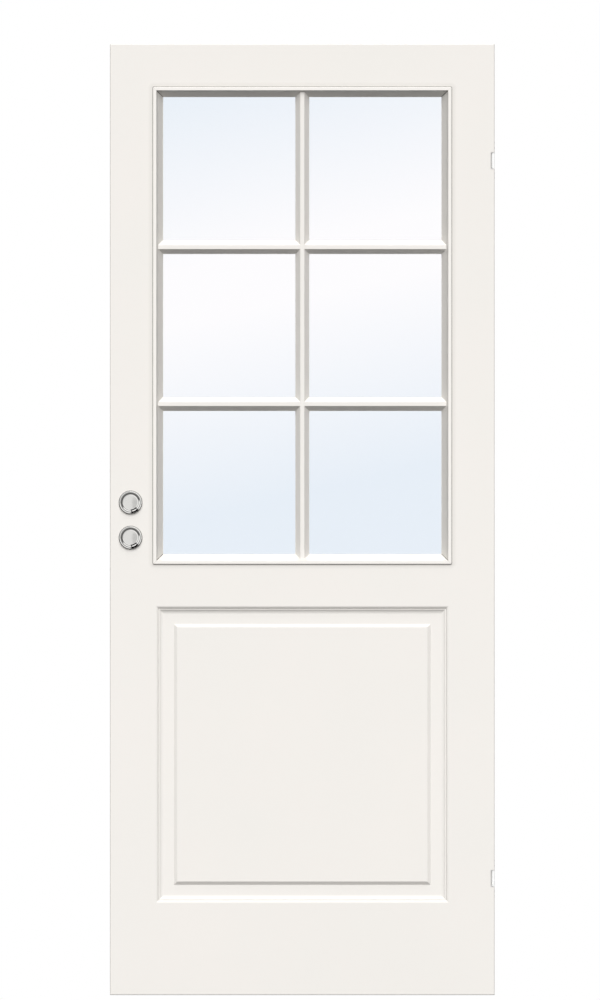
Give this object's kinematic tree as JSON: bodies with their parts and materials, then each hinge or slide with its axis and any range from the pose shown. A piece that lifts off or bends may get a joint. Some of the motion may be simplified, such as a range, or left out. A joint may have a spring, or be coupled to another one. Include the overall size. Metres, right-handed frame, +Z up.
{
  "type": "interior door leaf with glazed upper light",
  "caption": "White painted interior door leaf with small clear panes over a raised panel, chrome roses and let-in hinge sockets.",
  "frame": {"origin": "on the hinge edge of the leaf, at its foot and at mid thickness", "axes": "+X out of the hinge edge, the leaf running towards -X; -Y out of the front face; +Z up"},
  "size_m": [0.825, 0.0504, 2.04],
  "materials": {
    "paint": "satin white paint",
    "bead_paint": "satin white paint on a moulded bead",
    "timber": "softwood, painted white where it shows at the edges",
    "core_board": "fibreboard filling, hidden",
    "clear_glass": "clear float glass",
    "polished_chrome": "polished",
    "hinge_enamel": "white enamel",
    "hinge_steel": "bright drawn steel",
    "satin_steel": "satin brushed",
    "lock_steel": "zinc plated, hidden in its mortise"
  },
  "bodies": {
    "root": {"front_face_board": "paint", "front_bead_top": "bead_paint", "front_bead_bottom": "bead_paint", "front_bead_lock_side": "bead_paint", "front_bead_hinge_side": "bead_paint", "front_upright_bar": "bead_paint", "front_upper_bar_lock_side": "bead_paint", "front_upper_bar_hinge_side": "bead_paint", "front_lower_bar_lock_side": "bead_paint", "front_lower_bar_hinge_side": "bead_paint", "front_handle_rose": "polished_chrome", "front_key_rose": "polished_chrome", "back_face_board": "paint", "back_bead_top": "bead_paint", "back_bead_bottom": "bead_paint", "back_bead_lock_side": "bead_paint", "back_bead_hinge_side": "bead_paint", "back_upright_bar": "bead_paint", "back_upper_bar_lock_side": "bead_paint", "back_upper_bar_hinge_side": "bead_paint", "back_lower_bar_lock_side": "bead_paint", "back_lower_bar_hinge_side": "bead_paint", "back_handle_rose": "polished_chrome", "back_key_rose": "polished_chrome", "hinge_stile": "timber", "lock_stile": "timber", "top_rail": "timber", "lock_rail": "timber", "bottom_rail": "timber", "panel_core": "core_board", "pane_top_lock_side": "clear_glass", "pane_top_hinge_side": "clear_glass", "pane_middle_lock_side": "clear_glass", "pane_middle_hinge_side": "clear_glass", "pane_bottom_lock_side": "clear_glass", "pane_bottom_hinge_side": "clear_glass", "upper_hinge_plate": "hinge_enamel", "upper_hinge_pin": "hinge_steel", "lower_hinge_plate": "hinge_enamel", "lower_hinge_pin": "hinge_steel", "lock_faceplate": "satin_steel", "lock_case": "lock_steel", "latch_bolt": "satin_steel", "dead_bolt": "satin_steel"}
  },
  "joints": []
}
